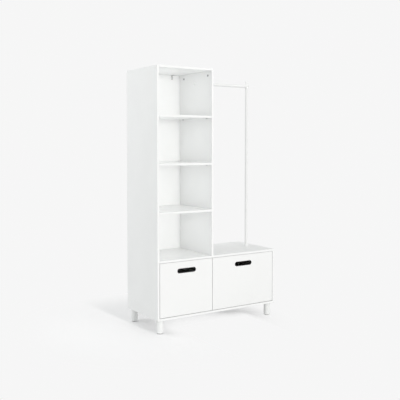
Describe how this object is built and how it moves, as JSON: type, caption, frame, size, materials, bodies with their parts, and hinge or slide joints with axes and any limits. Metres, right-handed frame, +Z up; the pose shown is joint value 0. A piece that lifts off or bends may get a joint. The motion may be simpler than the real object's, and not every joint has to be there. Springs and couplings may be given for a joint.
{
  "type": "kids clothing rack",
  "caption": "Kids clothing rack: open shelf column beside a tube hanging rail, on a low bench with inset hand-slot drawers that slide on roller runners, on round legs.",
  "frame": {"origin": "on the floor, under the middle of the rack's outline", "axes": "+X to the right seen from the front, +Y to the back, +Z up; the drawers open towards -Y"},
  "size_m": [0.8, 0.36, 1.45],
  "materials": {
    "white_board": "satin white foil on board",
    "white_hardboard": "white-faced thin hardboard",
    "painted_leg": "white painted turned wood",
    "white_tube": "white powder coat",
    "white_cap": "moulded white plastic",
    "glide_plastic": "grey plastic",
    "zinc_cam": "dull cast zinc",
    "plated_steel": "bright zinc plate",
    "runner_enamel": "white enamel",
    "roller_nylon": "natural nylon",
    "dowel_wood": "plain fluted beech"
  },
  "bodies": {
    "carcass": {"shelf_pins": "plated_steel", "cam_locks": "zinc_cam", "cam_bolts": "plated_steel", "wood_dowels": "dowel_wood", "bottom_screws": "plated_steel", "front_left_leg": "painted_leg", "leg_glides": "glide_plastic", "leg_bolts": "plated_steel", "leg_nuts": "plated_steel", "front_right_leg": "painted_leg", "rear_left_leg": "painted_leg", "rear_right_leg": "painted_leg", "hanging_post": "white_tube", "hanging_rail": "white_tube", "post_cap": "white_cap", "tube_inserts": "plated_steel", "rail_bolts": "white_tube", "wall_brackets": "plated_steel", "board_screws": "plated_steel", "left_bay_left_runner": "runner_enamel", "left_bay_right_runner": "runner_enamel", "right_bay_left_runner": "runner_enamel", "right_bay_right_runner": "runner_enamel", "bottom_panel": "white_board", "left_side_panel": "white_board", "right_side_panel": "white_board", "column_side_panel": "white_board", "drawer_divider": "white_board", "bench_top": "white_board", "column_top": "white_board", "lower_shelf": "white_board", "middle_shelf": "white_board", "upper_shelf": "white_board", "column_back": "white_hardboard", "bench_back": "white_hardboard"},
    "left_drawer": {"left_drawer_cam_locks": "zinc_cam", "left_drawer_cam_bolts": "plated_steel", "left_drawer_screws": "plated_steel", "left_drawer_left_slide": "runner_enamel", "left_drawer_right_slide": "runner_enamel", "left_drawer_front": "white_board", "left_drawer_left_side": "white_board", "left_drawer_right_side": "white_board", "left_drawer_back": "white_board", "left_drawer_bottom": "white_hardboard"},
    "right_drawer": {"right_drawer_cam_locks": "zinc_cam", "right_drawer_cam_bolts": "plated_steel", "right_drawer_screws": "plated_steel", "right_drawer_left_slide": "runner_enamel", "right_drawer_right_slide": "runner_enamel", "right_drawer_front": "white_board", "right_drawer_left_side": "white_board", "right_drawer_right_side": "white_board", "right_drawer_back": "white_board", "right_drawer_bottom": "white_hardboard"},
    "left_front_rollers": {"left_front_rollers": "roller_nylon"},
    "left_rear_rollers": {"left_rear_rollers": "roller_nylon"},
    "right_front_rollers": {"right_front_rollers": "roller_nylon"},
    "right_rear_rollers": {"right_rear_rollers": "roller_nylon"}
  },
  "joints": [
    {"name": "left_drawer_slide", "type": "slide", "parent": "carcass", "child": "left_drawer", "axis": [0, -1, 0], "range_m": [0, 0.225]},
    {"name": "left_front_roller_turn", "type": "hinge", "parent": "carcass", "child": "left_front_rollers", "pos_m": [0, -0.153, 0.1046], "axis": [1, 0, 0], "range_deg": [0, 1600]},
    {"name": "left_rear_roller_turn", "type": "hinge", "parent": "left_drawer", "child": "left_rear_rollers", "pos_m": [0, 0.12, 0.1058], "axis": [1, 0, 0], "range_deg": [0, 1390]},
    {"name": "right_drawer_slide", "type": "slide", "parent": "carcass", "child": "right_drawer", "axis": [0, -1, 0], "range_m": [0, 0.225]},
    {"name": "right_front_roller_turn", "type": "hinge", "parent": "carcass", "child": "right_front_rollers", "pos_m": [0, -0.153, 0.1046], "axis": [1, 0, 0], "range_deg": [0, 1600]},
    {"name": "right_rear_roller_turn", "type": "hinge", "parent": "right_drawer", "child": "right_rear_rollers", "pos_m": [0, 0.12, 0.1058], "axis": [1, 0, 0], "range_deg": [0, 1390]}
  ],
  "couplings": [
    {"joint": "left_front_roller_turn", "follows": "left_drawer_slide", "rad_per_m": 123.46},
    {"joint": "left_rear_roller_turn", "follows": "left_drawer_slide", "rad_per_m": 107.53},
    {"joint": "right_front_roller_turn", "follows": "right_drawer_slide", "rad_per_m": 123.46},
    {"joint": "right_rear_roller_turn", "follows": "right_drawer_slide", "rad_per_m": 107.53}
  ]
}
